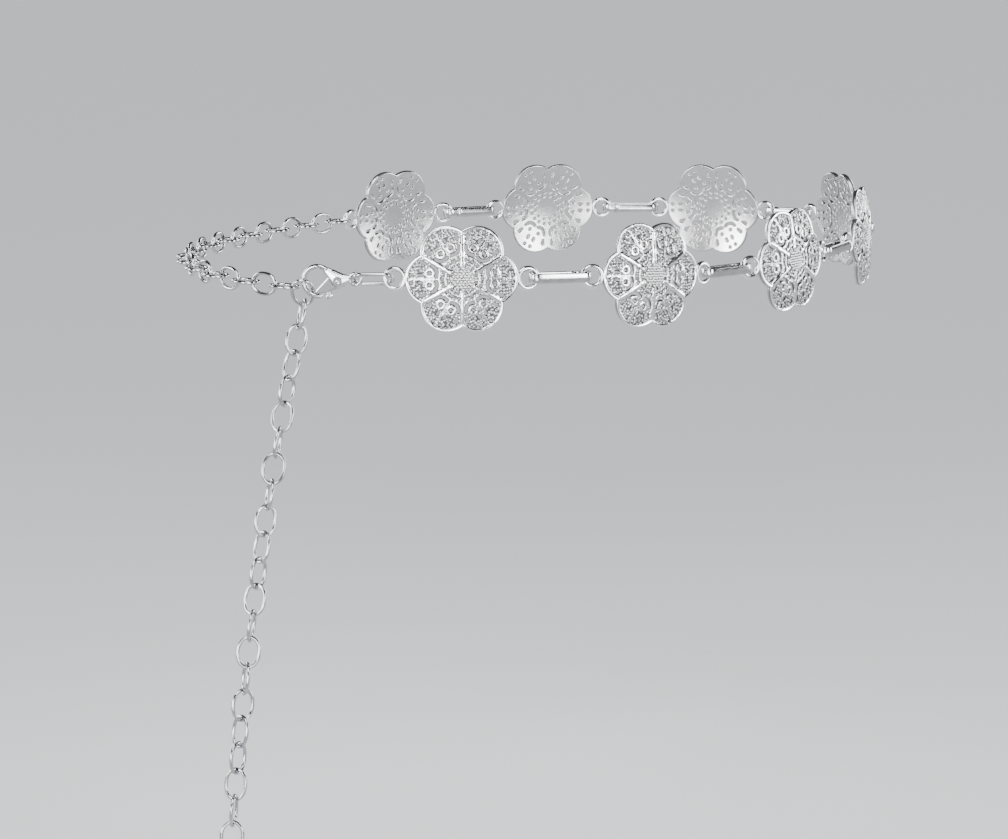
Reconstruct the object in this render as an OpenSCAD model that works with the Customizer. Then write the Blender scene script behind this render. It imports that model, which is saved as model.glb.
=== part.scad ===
// Waist chain: pierced flower medallions, band links, a lobster clasp and an oval link chain.
// Millimetres, +Z up, front towards -Y, origin at the middle of the loop that goes round the waist.

/* [Waist loop] */
// Width of the loop from side to side
waist_w = 260; // [230:1:330]
// Depth of the loop from front to back
waist_d = 188; // [170:1:250]
// Angle on the loop of the first flower's clasp-side ring
start_angle = 213; // [205:0.5:225]

/* [Flowers] */
// Distance from the middle of a flower to the tip of a petal
flower_reach = 17.6; // [16:0.1:18.5]
// Radius of the round end of a petal
petal_r = 8.25; // [7.6:0.05:8.6]
// Thickness of the casting
flower_t = 1.2; // [1:0.1:2]
// Radius of the dome that the petals and rings are bent to
dome_r = 74; // [60:1:120]
// Width of the raised rim round the petals
rim_w = 0.9; // [0.6:0.1:1]
// Height of the raised rim above the casting
rim_h = 0.3; // [0.1:0.1:0.6]
// Radius of the domed boss in the middle
boss_r = 3.7; // [3:0.1:3.8]
// Height of the domed boss
boss_h = 0.8; // [0.4:0.1:1.2]
// Lean of a flower, with its lower edge outward
flower_lean = 3; // [0:0.5:5]

/* [Rings and band links] */
// Outer diameter of the ring cast on each side of a flower
ring_od = 7.7; // [7.2:0.1:8.5]
// Bar diameter of that ring
ring_bar = 1.6; // [1.2:0.1:1.7]
// Distance from the middle of one flower to the next, along the loop
flower_pitch = 62; // [60:0.5:64]
// Height of a band link
band_h = 3.2; // [2.4:0.1:3.5]
// Thickness of a band link's strip
band_t = 0.9; // [0.6:0.1:1]
// Width of the slot inside a band link
band_slot = 3.4; // [3:0.1:4]

/* [Chain] */
// Length of an oval chain link
link_len = 10.4; // [9.8:0.1:11]
// Width of an oval chain link
link_w = 7.6; // [7:0.1:8.2]
// Wire diameter of a chain link
link_wire = 1.1; // [0.9:0.05:1.2]
// Number of links in the hanging end
tail_links = 21; // [5:1:26]
// Outward lean of the hanging end at its top
tail_out_top = 20; // [5:1:25]
// Outward lean of the hanging end at its bottom
tail_out_end = 9; // [0:1:20]

/* [Clasp] */
// Outer diameter of the clasp's eye
eye_od = 4.6; // [4.5:0.1:4.8]
// Bar diameter of the clasp's eye
eye_bar = 1.1; // [0.9:0.1:1.2]
// Distance from the eye's middle to the far side of the hook
clasp_len = 17.7; // [17.4:0.1:18.4]
// Outer diameter of the hook's bend
hook_od = 10.8; // [10.6:0.1:11.2]
// Bar diameter of the hook
hook_bar = 1.6; // [1.3:0.1:1.7]
// Thickness of the clasp's body at the lever
body_t = 3; // [2.8:0.1:3.6]
// Thickness of the lever
lever_t = 1.2; // [0.9:0.1:1.3]
// Angle that the lever opens, into the hook
lever_open = 20; // [10:1:22]
// Diameter of the lever's pin
pin_d = 1; // [0.8:0.1:1.2]
// Wire diameter of the link between the clasp and the first flower
end_wire = 1.2; // [1:0.05:1.25]
// Width of the link between the clasp and the first flower
end_link_w = 6.4; // [6:0.1:7]

/* [Hidden] */
$fn = 48;
hull_fn = 32;
fine_fn = 96;
flower_count = 8;
metal = "silver";

// Clearances
wire_gap = 0.12;
end_gap = 0.9;
corner_gap = 1;
band_gap = 0.3;
pin_gap = 0.04;
rivet_gap = 0.01;
slot_gap = 0.15;

// Flower pattern, from the middle of the flower or of a petal's axis
petal_n = 6;
petal_at = flower_reach - petal_r;
petal_tilt = asin(flower_reach / 2 / dome_r);
core_r = 6;
sector_r = 40;
rim_room = 0.4;
tip_hole_d = 1.05;
tip_hole = [flower_reach - rim_w - rim_room - tip_hole_d / 2, 1.2];
mid_hole = [flower_reach - 4.75, 1.15];
mid_hole_size = [1.6, 0.85];
eye_hole = [flower_reach - 7.5, 1.84];
eye_hole_d = 1.05;
scroll_r = 2.33;
scroll_w = 0.9;
scroll_end_d = 1.02;
scroll_from = 109;
scroll_to = 208;
side_hole_at = flower_reach - 4.7;
side_hole_angle = 22.4;
side_hole_len = 1.25;
side_hole_out_r = 0.6;
side_hole_in_r = 0.35;
outer_ring_n = 18;
outer_ring_r = 6.1;
outer_ring_d = 0.9;
inner_ring_n = 12;
inner_ring_r = 4.35;
inner_ring_d = 0.7;
inner_ring_turn = 12;
cut_depth = 20;

// Rings: their bar overlaps the petal's tip, and they lie on the dome
ring_hole_d = ring_od - 2 * ring_bar;
ring_lap = 0.9;
ring_tilt = asin((flower_reach + ring_od / 2 - ring_lap) / dome_r);
ring_line_r = dome_r - flower_t / 2;
ring_at = ring_line_r * sin(ring_tilt);
ring_drop = dome_r - ring_line_r * cos(ring_tilt);
// Height of each ring above the loop's plane, from the clasp round to the last flower
ring_lift = [0.9, 0.6, 0.3, -1.3, -1.1, 0.1, 0.9, 1.6, 1, 0.5, 0, 0, 0, 0, 0, 0];

// Band links: their corners stand clear inside the round hole of a ring
band_reach = sqrt(pow(ring_hole_d / 2, 2) - pow(band_h / 2, 2)) - band_gap;

// Clasp, from the middle of its eye, x towards the flowers and y up
eye_lift = 0.5;
hook_r = (hook_od - hook_bar) / 2;
hook_at = [hook_od / 2 - clasp_len, -1.1];
hook_from = 44;
hook_to = 282;
hook_tip_angle = 12;
hook_tip_lap = 0.3;
pivot_at = [-5.4, -0.7];
housing_r = 2.5;
root_r = 2.3;
shoulder_at = [-7.4, 0.9];
shoulder_r = 0.6;
lever_end_r = 0.8;
lever_end_at = [-12.1, -4.3];
nub_at = [-8.5, -5.6];
nub_d = 1.5;
neck_at = [-2.1, 0];
neck_r = 1.1;
neck_t = 1.9;
arm_root_r = 1.2;
arm_root_t = 2.1;

// Link between the clasp and the first flower
eye_span = 12.3;
eye_hole_r = eye_od / 2 - eye_bar;
end_link_roll = 50;

// Corner link, caught in the hook and tilted so that the hook passes through it
hang_angle = 210;
hang_shift = [-1.1, -1.5];
hang_tilt = 36;
hang_tilt_dir = 122;
side_joint_angle = 158;

// Chains
link_pitch = link_len - 2 * link_wire - wire_gap;
link_line_r = (link_w - link_wire) / 2;
side_sag = 1;
blend_links = 8;
side_room = 0.15;
tail_side_top = 5;
tail_side_end = 1;
tail_twist = 540 / 7;
tail_turn = 55;

// Loop: a point on it, and the angle a straight distance away from another
function loop_at(t) = [waist_w / 2 * cos(t), waist_d / 2 * sin(t)];
function step_from(t, len, way, lo = 0, hi = 60, k = 0) =
    let (mid = (lo + hi) / 2)
    k == 24 ? t + way * mid
    : norm(loop_at(t + way * mid) - loop_at(t)) < len ? step_from(t, len, way, mid, hi, k + 1)
    : step_from(t, len, way, lo, mid, k + 1);
function with_z(p, z) = [p.x, p.y, z];
function unit(v) = v / norm(v);
function outward(u) = unit([u.y, -u.x, 0]);
function polar(r, a) = [r * cos(a), r * sin(a)];

ring_span = 2 * ring_at;
link_span = flower_pitch - ring_span;
ring_angles = [for (i = 0, t = start_angle; i < 2 * flower_count;
    i = i + 1, t = step_from(t, i % 2 == 1 ? ring_span : link_span, 1)) t];
ring_pts = [for (i = [0:2 * flower_count - 1]) with_z(loop_at(ring_angles[i]), ring_lift[i])];

// Clasp frame in the loop
eye_angle = step_from(start_angle, eye_span, -1);
eye_pt = with_z(loop_at(eye_angle), eye_lift);
hook_angle = step_from(eye_angle, clasp_len, -1);
clasp_u = unit(eye_pt - with_z(loop_at(hook_angle), eye_lift));
clasp_n = outward(clasp_u);
function clasp_to_world(p) = eye_pt + p.x * clasp_u + p.y * [0, 0, 1] + p.z * clasp_n;

// Corner link frame in the clasp: its long side stands up, then it is tilted about a slanting line
hang_axis = [sin(hang_tilt_dir), -cos(hang_tilt_dir), 0];
function hang_turn(p) = p * cos(hang_tilt) + cross(hang_axis, p) * sin(hang_tilt)
    + hang_axis * (hang_axis * p) * (1 - cos(hang_tilt));
hang_pt = with_z(hook_at + polar(hook_r, hang_angle), 0) + hang_turn(with_z(hang_shift, 0));
function corner_to_world(p) = clasp_to_world(hang_pt + hang_turn(p));
inner_joint_r = link_line_r - (link_wire + corner_gap) / 2;
side_joint = corner_to_world(with_z([0, (link_len - link_w) / 2] + polar(inner_joint_r, side_joint_angle), 0));
tail_joint = corner_to_world([0, -(link_len - link_w) / 2 - inner_joint_r, 0]);

// Side chain: from the corner link back round the loop to the last flower's ring
side_from = step_from(eye_angle, (eye_pt - side_joint) * clasp_u, -1);
side_to = ring_angles[2 * flower_count - 1] - 360;
last_dir = unit(loop_at(side_to + 2) - loop_at(side_to));
last_joint = ring_pts[2 * flower_count - 1] + (ring_hole_d - wire_gap) / 2 * with_z(last_dir, 0);
side_steps = 200;
side_table = [for (i = 0, s = 0, t = side_from; i <= side_steps;
    i = i + 1,
    s = s + norm(loop_at(t) - loop_at(t + (side_to - side_from) / side_steps)),
    t = t + (side_to - side_from) / side_steps) [s, t]];
side_len = side_table[side_steps][0] - ring_hole_d / 2;
side_links = 2 * ceil((side_len / (link_pitch - side_room) - 1) / 2) + 1;
function side_base(k) = with_z(loop_at(lookup(k / side_links * side_len, side_table)),
    -side_sag * sin(180 * k / side_links));
side_start_shift = side_joint - side_base(0);
side_end_shift = last_joint - side_base(side_links);
side_pts = [for (k = [0:side_links]) side_base(k)
    + side_start_shift * max(0, 1 - k / blend_links)
    + side_end_shift * max(0, 1 - (side_links - k) / blend_links)];

// Tail: hangs from the corner link, leaning out over the hip
function tail_lean(top, end, k) = top + (end - top) * k / max(1, tail_links - 1);
function tail_step(k) =
    let (out = tail_lean(tail_out_top, tail_out_end, k), side = tail_lean(tail_side_top, tail_side_end, k))
    link_pitch * unit([0, 0, -1] + tan(out) * clasp_n - tan(side) * clasp_u);
tail_pts = [for (k = 0, p = tail_joint; k <= tail_links; p = p + tail_step(k), k = k + 1) p];

// Placing: x along u, z along n
module set_at(o, u, n) {
    v = cross(n, u);
    multmatrix([
        [u.x, v.x, n.x, o.x],
        [u.y, v.y, n.y, o.y],
        [u.z, v.z, n.z, o.z],
        [0, 0, 0, 1]]) children();
}
module between(a, b) {
    u = unit(b - a);
    set_at((a + b) / 2, u, outward(u)) children();
}
module in_clasp() set_at(eye_pt, clasp_u, clasp_n) children();

// Shared shapes
module around(count) for (i = [0:count - 1]) rotate(i * 360 / count) children();
module both() {
    children();
    mirror([0, 1]) children();
}
module torus(line_r, bar) rotate_extrude() translate([line_r, 0]) circle(d = bar);
module bend(line_r, bar, from, to)
    rotate(from) rotate_extrude(angle = to - from) translate([line_r, 0]) circle(d = bar);
module oval_link(len, w, wire) {
    line_r = (w - wire) / 2;
    straight = len - w;
    for (s = [0, 1]) rotate(180 * s) {
        translate([straight / 2, 0]) bend(line_r, wire, -90, 90);
        translate([-straight / 2, line_r]) rotate([0, 90, 0]) cylinder(d = wire, h = straight);
    }
}
module pebble(r, t) {
    $fn = hull_fn;
    edge = t / 3;
    for (z = [-1, 1]) translate([0, 0, z * (t / 2 - edge / 2)]) cylinder(r = r - edge, h = edge, center = true);
    cylinder(r = r, h = t - 2 * edge, center = true);
}

// Flower
module petal_cuts() both() {
    translate(tip_hole) circle(d = tip_hole_d);
    translate(mid_hole) {
        square([mid_hole_size.x - mid_hole_size.y, mid_hole_size.y], center = true);
        for (s = [-1, 1]) translate([s * (mid_hole_size.x - mid_hole_size.y) / 2, 0]) circle(d = mid_hole_size.y);
    }
    translate(eye_hole) {
        circle(d = eye_hole_d);
        scroll_cut();
    }
    rotate(side_hole_angle) translate([side_hole_at, 0]) side_cut();
}
module scroll_cut() {
    intersection() {
        difference() {
            circle(scroll_r + scroll_w / 2);
            circle(scroll_r - scroll_w / 2);
        }
        polygon([[0, 0], for (a = [scroll_from, (scroll_from + scroll_to) / 2, scroll_to]) polar(2 * scroll_r, a)]);
    }
    for (a = [scroll_from, scroll_to]) translate(polar(scroll_r, a)) circle(d = scroll_end_d);
}
module side_cut() {
    x = side_hole_len / 2;
    translate([x, 0]) circle(side_hole_out_r);
    translate([-x, 0]) circle(side_hole_in_r);
    polygon([[x, side_hole_out_r], [x, -side_hole_out_r], [-x, -side_hole_in_r], [-x, side_hole_in_r]]);
}
module tilted_plate() rotate([0, petal_tilt, 0]) translate([0, 0, -flower_t]) {
    linear_extrude(flower_t) {
        circle(core_r);
        translate([petal_at, 0]) circle(petal_r);
    }
    linear_extrude(flower_t + rim_h) difference() {
        translate([petal_at, 0]) circle(petal_r);
        translate([petal_at, 0]) circle(petal_r - rim_w);
        square([2 * petal_at, 3 * petal_r], center = true);
    }
}
module column() translate([0, 0, -cut_depth / 2]) linear_extrude(cut_depth) children();
module petal() intersection() {
    tilted_plate();
    column() polygon([[0, 0], polar(sector_r, -180 / petal_n), polar(sector_r, 180 / petal_n)]);
}
module boss() {
    ball_r = (boss_r * boss_r + boss_h * boss_h) / 2 / boss_h;
    intersection() {
        translate([0, 0, boss_h - ball_r]) sphere(ball_r, $fn = fine_fn);
        translate([0, 0, -flower_t / 2]) cylinder(r = boss_r, h = flower_t / 2 + boss_h);
    }
}
module flower_form() {
    difference() {
        around(petal_n) petal();
        column() {
            around(petal_n) petal_cuts();
            around(outer_ring_n) translate([outer_ring_r, 0]) circle(d = outer_ring_d);
            rotate(inner_ring_turn) around(inner_ring_n) translate([inner_ring_r, 0]) circle(d = inner_ring_d);
        }
    }
    boss();
    around(2) translate([0, 0, -dome_r]) rotate([0, ring_tilt, 0])
        translate([0, 0, ring_line_r]) torus((ring_od - ring_bar) / 2, ring_bar);
}
module flower(i) color(metal)
    between(ring_pts[2 * i - 2], ring_pts[2 * i - 1]) rotate([-flower_lean, 0, 0])
        translate([0, 0, ring_drop]) flower_form();

// Band link between the rings of two flowers
module band_link(i) {
    a = ring_pts[2 * i - 1];
    b = ring_pts[2 * i];
    line = norm(b - a) - 2 * band_reach + 2 * band_t;
    color(metal) between(a, b) rotate([90, 0, 0]) translate([0, 0, -band_h / 2]) linear_extrude(band_h) difference() {
        rounded_bar(line, band_slot + 2 * band_t);
        rounded_bar(line - 2 * band_t, band_slot);
    }
}
module rounded_bar(len, w) {
    square([len - w, w], center = true);
    for (s = [-1, 1]) translate([s * (len - w) / 2, 0]) circle(d = w);
}

// Clasp
module clasp_body() color(metal) in_clasp() {
    torus((eye_od - eye_bar) / 2, eye_bar);
    difference() {
        union() {
            hull() {
                translate(pivot_at) pebble(housing_r, body_t);
                translate(neck_at) pebble(neck_r, neck_t);
            }
            hull() {
                translate(pivot_at) pebble(housing_r, body_t);
                translate(hook_at + polar(hook_r, hook_from)) pebble(arm_root_r, arm_root_t);
            }
        }
        cylinder(d = eye_od - eye_bar, h = body_t, center = true);
        translate([pivot_at.x, pivot_at.y, -lever_t / 2 - slot_gap]) linear_extrude(lever_t + 2 * slot_gap)
            for (a = [0:lever_open / 2:lever_open]) rotate(-a) translate(-pivot_at) offset(slot_gap) lever_outline();
        translate(pivot_at) cylinder(d = pin_d + 2 * rivet_gap, h = 2 * body_t, center = true);
    }
    translate(hook_at) {
        bend(hook_r, hook_bar, hook_from, hook_to);
        rotate(hook_to) translate([hook_r, -hook_tip_lap]) rotate([-90, 0, 0])
            cylinder(d1 = hook_bar * 0.94, d2 = hook_bar * 0.6, h = hook_bar / 3 + hook_tip_lap);
    }
}
module lever_outline() {
    $fn = hull_fn;
    hull() {
        translate(pivot_at) circle(root_r);
        translate(shoulder_at) circle(shoulder_r);
        translate(lever_end_at) circle(lever_end_r);
    }
}
module clasp_lever() color(metal) in_clasp() difference() {
    union() {
        translate([0, 0, -lever_t / 2]) linear_extrude(lever_t) lever_outline();
        translate([nub_at.x, nub_at.y, 0]) cylinder(d = nub_d, h = body_t * 0.8, center = true);
        hull() {
            translate(nub_at) cylinder(d = nub_d * 0.8, h = lever_t, center = true, $fn = hull_fn);
            translate((pivot_at + lever_end_at) / 2) cylinder(d = nub_d, h = lever_t, center = true, $fn = hull_fn);
        }
    }
    translate(hook_at) {
        bend(hook_r, hook_bar + 2 * slot_gap, (hook_from + hook_to) / 2, hook_to + hook_tip_angle);
    }
    translate(pivot_at) cylinder(d = pin_d + 2 * pin_gap, h = 2 * body_t, center = true);
}
module clasp_pin() color("gainsboro") in_clasp() translate(pivot_at) cylinder(d = pin_d, h = body_t, center = true);

// Link between the clasp's eye and the first flower's ring
module clasp_link() {
    line = unit(ring_pts[0] - eye_pt);
    a = eye_pt + (eye_hole_r - end_gap / 2) * line;
    b = ring_pts[0] - (ring_hole_d - end_gap) / 2 * line;
    color(metal) between(a, b) rotate([end_link_roll, 0, 0])
        oval_link(norm(b - a) + end_gap + 2 * end_wire, end_link_w, end_wire);
}

// Chain links: one caught in the hook, one row round the side and back, one row hanging
module corner_link() color(metal) in_clasp() translate(hang_pt)
    rotate(hang_tilt, hang_axis) rotate(90) oval_link(link_len, link_w, link_wire);
module side_chain() color(metal) for (k = [0:side_links - 1])
    between(side_pts[k], side_pts[k + 1]) rotate([k % 2 == 0 ? 90 : 0, 0, 0]) oval_link(link_len, link_w, link_wire);
module tail_chain() color(metal) for (k = [0:tail_links - 1]) {
    u = unit(tail_pts[k + 1] - tail_pts[k]);
    n = unit(clasp_n - (clasp_n * u) * u);
    set_at((tail_pts[k] + tail_pts[k + 1]) / 2, u, n)
        rotate([tail_turn + tail_twist * k, 0, 0]) oval_link(link_len, link_w, link_wire);
}

for (i = [1:flower_count]) flower(i);
for (i = [1:flower_count - 1]) band_link(i);
clasp_body();
clasp_lever();
clasp_pin();
clasp_link();
corner_link();
side_chain();
tail_chain();
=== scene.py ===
"""Looks of a silver-tone waist chain: flower medallions, band links, lobster clasp, oval link chain."""

import logging
import math
from collections.abc import Callable, Sequence
from dataclasses import dataclass
from enum import Enum

import bmesh
import bpy
import numpy as np
from mathutils import Matrix, Vector


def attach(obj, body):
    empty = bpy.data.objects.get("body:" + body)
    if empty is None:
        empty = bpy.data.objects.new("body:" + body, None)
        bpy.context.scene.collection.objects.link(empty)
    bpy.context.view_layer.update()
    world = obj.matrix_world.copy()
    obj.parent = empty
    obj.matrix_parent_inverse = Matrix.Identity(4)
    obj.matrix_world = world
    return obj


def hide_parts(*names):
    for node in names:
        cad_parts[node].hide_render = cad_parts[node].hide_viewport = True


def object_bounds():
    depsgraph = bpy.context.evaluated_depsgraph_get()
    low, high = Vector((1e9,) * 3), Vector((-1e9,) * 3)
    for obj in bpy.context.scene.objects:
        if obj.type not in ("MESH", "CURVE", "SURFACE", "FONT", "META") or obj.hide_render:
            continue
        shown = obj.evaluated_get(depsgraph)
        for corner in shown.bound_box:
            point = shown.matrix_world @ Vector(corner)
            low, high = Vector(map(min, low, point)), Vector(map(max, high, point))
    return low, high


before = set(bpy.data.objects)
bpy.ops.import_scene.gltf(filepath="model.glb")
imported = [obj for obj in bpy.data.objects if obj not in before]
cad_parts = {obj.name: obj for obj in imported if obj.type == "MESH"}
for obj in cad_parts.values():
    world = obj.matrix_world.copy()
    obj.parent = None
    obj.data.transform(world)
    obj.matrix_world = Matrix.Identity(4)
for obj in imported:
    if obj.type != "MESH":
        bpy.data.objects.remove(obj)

LOG = logging.getLogger("waist_chain")
MM = 0.001
CAD_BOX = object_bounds()
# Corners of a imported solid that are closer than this, in metres, are one corner
WELD = 0.002 * MM
MATH = "ShaderNodeMath"
Array = np.ndarray
Mesh = bpy.types.Mesh
Socket = bpy.types.NodeSocket


def linear(hex_colour: str) -> tuple[float, float, float, float]:
    """Turn an sRGB hex colour into a linear one.

    Args:
        hex_colour: Six hex digits with a leading hash.

    Returns:
        Linear red, green, blue and an alpha of 1.
    """
    parts = [int(hex_colour[i : i + 2], 16) / 255 for i in (1, 3, 5)]
    turned = [p / 12.92 if p <= 0.04045 else ((p + 0.055) / 1.055) ** 2.4 for p in parts]
    return (*turned, 1.0)


def add_node(
    tree: bpy.types.NodeTree, kind: str, inputs: dict | Sequence = (), **settings: object
) -> bpy.types.Node:
    """Add a node, give it its settings, and set or link its inputs.

    Args:
        tree: The node tree that gets the node.
        kind: The node's type name.
        inputs: Constants or other nodes' output sockets, by socket name or index, or in order.
        settings: The node's own properties.

    Returns:
        The new node.
    """
    node = tree.nodes.new(kind)
    for name, value in settings.items():
        setattr(node, name, value)
    for key, value in inputs.items() if isinstance(inputs, dict) else enumerate(inputs):
        socket = node.inputs[key]
        if isinstance(value, Socket):
            tree.links.new(value, socket)
        else:
            socket.default_value = value
    return node


class SocketKind(Enum):
    """Kinds of named inputs of a geometry tree."""

    GEOMETRY = "NodeSocketGeometry"
    LENGTH = "NodeSocketFloat"
    COUNT = "NodeSocketInt"
    FINISH = "NodeSocketMaterial"


# Finishes


@dataclass(frozen=True)
class PlatedMetal:
    """A bright silver-tone plated metal.

    Attributes:
        name: The real metal and how its surface was made.
        bright: Colour of the polished high points.
        dull_and_shade: Colour of the duller cloudy patches; where there is a relief, also of the recesses,
            painted dark as shade.
        smooth: Roughness of the high points.
        rough: Roughness of the recesses.
        grain_mm: Size of the surface's fine unevenness.
        bump_mm: Height of that unevenness.
        relief: Whether the piece carries a relief attribute, 0 in recesses and 1 on high points, that paints
            shade into the recesses' colour and roughens them.
        cloud_grains: Size of the cloudy changes of tone, in grains.
        cloud_share: Share of the tone that they take where there is a relief.
    """

    name: str
    bright: str
    dull_and_shade: str
    smooth: float
    rough: float
    grain_mm: float
    bump_mm: float
    relief: bool = False
    cloud_grains: float = 6.0
    cloud_share: float = 0.12

    def material(self) -> bpy.types.Material:
        """Build the material once and hand it out again later.

        Returns:
            The procedural material of this metal.
        """
        made = bpy.data.materials.get(self.name)
        if made:
            return made
        made = bpy.data.materials.new(self.name)
        made.use_nodes = True
        tree = made.node_tree
        shader = tree.nodes["Principled BSDF"]
        shader.inputs["Metallic"].default_value = 1.0
        place = add_node(tree, "ShaderNodeTexCoord").outputs["Object"]
        sizes = ((self.grain_mm, 2.0), (self.cloud_grains * self.grain_mm, 3.0))
        noises = [{"Vector": place, "Scale": 1 / (size * MM), "Detail": detail} for size, detail in sizes]
        grain, height = (add_node(tree, "ShaderNodeTexNoise", noise).outputs["Fac"] for noise in noises)
        # A relief darkens the colour of recesses and rounded edges as painted shade, and roughens them
        if self.relief:
            high = add_node(tree, "ShaderNodeAttribute", attribute_name="relief").outputs["Fac"]
            tone = add_node(tree, MATH, (height, self.cloud_share), operation="MULTIPLY").outputs[0]
            terms = (high, 1 - self.cloud_share, tone)
            height = add_node(tree, MATH, terms, operation="MULTIPLY_ADD").outputs[0]
        # Darker to brighter tone: cloudy patches, and on a relief also the painted shade of the recesses
        tones = {"Factor": height, 6: linear(self.dull_and_shade), 7: linear(self.bright)}
        colour = add_node(tree, "ShaderNodeMix", tones, data_type="RGBA").outputs[2]
        limits = {"Value": height, "To Min": self.rough, "To Max": self.smooth}
        roughness = add_node(tree, "ShaderNodeMapRange", limits).outputs["Result"]
        uneven = {"Height": grain, "Strength": 1.0, "Distance": self.bump_mm * MM}
        bump = add_node(tree, "ShaderNodeBump", uneven).outputs["Normal"]
        tree.links.new(colour, shader.inputs["Base Color"])
        tree.links.new(roughness, shader.inputs["Roughness"])
        tree.links.new(bump, shader.inputs["Normal"])
        return made


# Zinc alloy casting under bright rhodium-tone plating: mirror rims, rougher recesses between the scrolls,
# their near-black colour painted shade
CAST_ZINC = PlatedMetal("plated_zinc_casting", "#efeff0", "#36383c", 0.11, 0.40, 0.45, 0.014, relief=True)
# Flat brass strip, stamped, bent and barrel plated: bright with faint tumbling marks
PLATED_STRIP = PlatedMetal("plated_brass_strip", "#d2d3d4", "#97999d", 0.08, 0.20, 0.6, 0.006)
# Round drawn wire, barrel plated: smooth and bright, with faint cloudy duller patches
PLATED_WIRE = PlatedMetal("plated_drawn_wire", "#cdced0", "#8f9195", 0.08, 0.20, 0.7, 0.005)
# Clasp casting, tumbled to a mirror before plating
POLISHED_CLASP = PlatedMetal("plated_polished_clasp", "#d6d7d9", "#97999d", 0.07, 0.18, 0.8, 0.006)


@dataclass(frozen=True)
class StudioPaper:
    """The pale matt paper of the floor.

    Attributes:
        name: What the surface is.
        colour: Its colour.
        rough: Its roughness.
        fibre_mm: Size of the paper's fibre clouds.
        bump_mm: Height of those clouds.
    """

    name: str = "pale_studio_paper"
    colour: str = "#e9eaed"
    rough: float = 0.9
    fibre_mm: float = 3.0
    bump_mm: float = 0.02

    def material(self) -> bpy.types.Material:
        """Build the paper's material.

        Returns:
            A matt, nearly even material.
        """
        made = bpy.data.materials.new(self.name)
        made.use_nodes = True
        tree = made.node_tree
        shader = tree.nodes["Principled BSDF"]
        shader.inputs["Base Color"].default_value = linear(self.colour)
        shader.inputs["Roughness"].default_value = self.rough
        place = add_node(tree, "ShaderNodeTexCoord").outputs["Object"]
        fibre = add_node(tree, "ShaderNodeTexNoise", {"Vector": place, "Scale": 1 / (self.fibre_mm * MM)})
        uneven = {"Height": fibre.outputs["Fac"], "Distance": self.bump_mm * MM}
        bump = add_node(tree, "ShaderNodeBump", uneven)
        tree.links.new(bump.outputs["Normal"], shader.inputs["Normal"])
        return made


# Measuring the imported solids


@dataclass(frozen=True)
class Pose:
    """Where a solid lies, in metres.

    Attributes:
        middle: Its middle.
        long: Direction of its long side.
        short: Direction of its short side.
        facing: Direction square to both.
        points: Corners of its triangles.
    """

    middle: Array
    long: Array
    short: Array
    facing: Array
    points: Array

    def matrix(self, origin: Array | None = None) -> Matrix:
        """Matrix that puts a piece made in millimetres, long side along X and facing Z, in this pose.

        Args:
            origin: Where the piece's own origin goes, or None for the middle.

        Returns:
            The 4 by 4 matrix.
        """
        at = self.middle if origin is None else origin
        columns = np.column_stack([self.long * MM, self.short * MM, self.facing * MM, at])
        return Matrix([*columns.tolist(), [0, 0, 0, 1]])

    def reach(self, direction: Array) -> tuple[float, float]:
        """Lowest and highest place of the solid along a direction, from its middle."""
        along = (self.points - self.middle) @ direction
        return float(along.min()), float(along.max())


def solids_of(node: str) -> list[Array]:
    """Split a CAD node into its loose solids.

    Args:
        node: The node's name.

    Returns:
        For each solid, its triangles as an array of corners, in metres.
    """
    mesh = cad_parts[node].data
    mesh.calc_loop_triangles()
    corners = np.array([v.co for v in mesh.vertices])
    faces = np.array([t.vertices for t in mesh.loop_triangles])
    _, same = np.unique(np.round(corners / WELD).astype(int), axis=0, return_inverse=True)
    same = same.reshape(-1)
    root = np.arange(same.max() + 1)
    merged = same[faces]
    while True:
        low = root[merged].min(axis=1)
        before = root.copy()
        for k in range(3):
            np.minimum.at(root, merged[:, k], low)
        root = root[root]
        if np.array_equal(before, root):
            break
    group = root[merged[:, 0]]
    return [corners[faces[group == g]] for g in np.unique(group)]


def pose_of(triangles: Array) -> Pose:
    """Measure a solid's middle and axes from the area of its skin.

    Args:
        triangles: Corners of its triangles.

    Returns:
        The pose, facing away from the middle of the loop, with the short side upwards.
    """
    a, b, c = triangles[:, 0], triangles[:, 1], triangles[:, 2]
    area = np.linalg.norm(np.cross(b - a, c - a), axis=1) / 2
    mids = np.concatenate([(a + b) / 2, (b + c) / 2, (c + a) / 2])
    weight = np.tile(area, 3) / area.sum() / 3
    middle = (mids * weight[:, None]).sum(axis=0)
    spread = (mids - middle).T @ ((mids - middle) * weight[:, None])
    _, axes = np.linalg.eigh(spread)
    facing, long = axes[:, 0], axes[:, 2]
    if facing @ middle < 0:
        facing = -facing
    short = np.cross(facing, long)
    if short[2] < 0:
        long, short = -long, -short
    return Pose(middle, long, short, facing, triangles.reshape(-1, 3))


# Meshes and pieces


def mesh_of(name: str, corners: Sequence, faces: Sequence) -> Mesh:
    """Make a smooth mesh.

    Args:
        name: Its name.
        corners: Its corners.
        faces: Its faces, as numbers of corners.

    Returns:
        The mesh.
    """
    mesh = bpy.data.meshes.new(name)
    mesh.from_pydata(corners, [], faces)
    mesh.update()
    mesh.shade_smooth()
    return mesh


def add_piece(
    name: str, mesh: Mesh, body: str, finish: PlatedMetal, nodes: Sequence[str]
) -> None:
    """Put a finished mesh in the scene in place of its CAD nodes.

    Args:
        name: The piece's name.
        mesh: Its mesh, already in its place.
        body: The CAD body that it moves with.
        finish: Its finish.
        nodes: The CAD nodes that it stands for.
    """
    piece = bpy.data.objects.new(name, mesh)
    bpy.context.scene.collection.objects.link(piece)
    mesh.materials.clear()
    mesh.materials.append(finish.material())
    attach(piece, body)
    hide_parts(*nodes)
    triangles = sum(len(p.vertices) - 2 for p in mesh.polygons)
    LOG.info("%s: %d triangles on %s", name, triangles, body)


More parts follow.
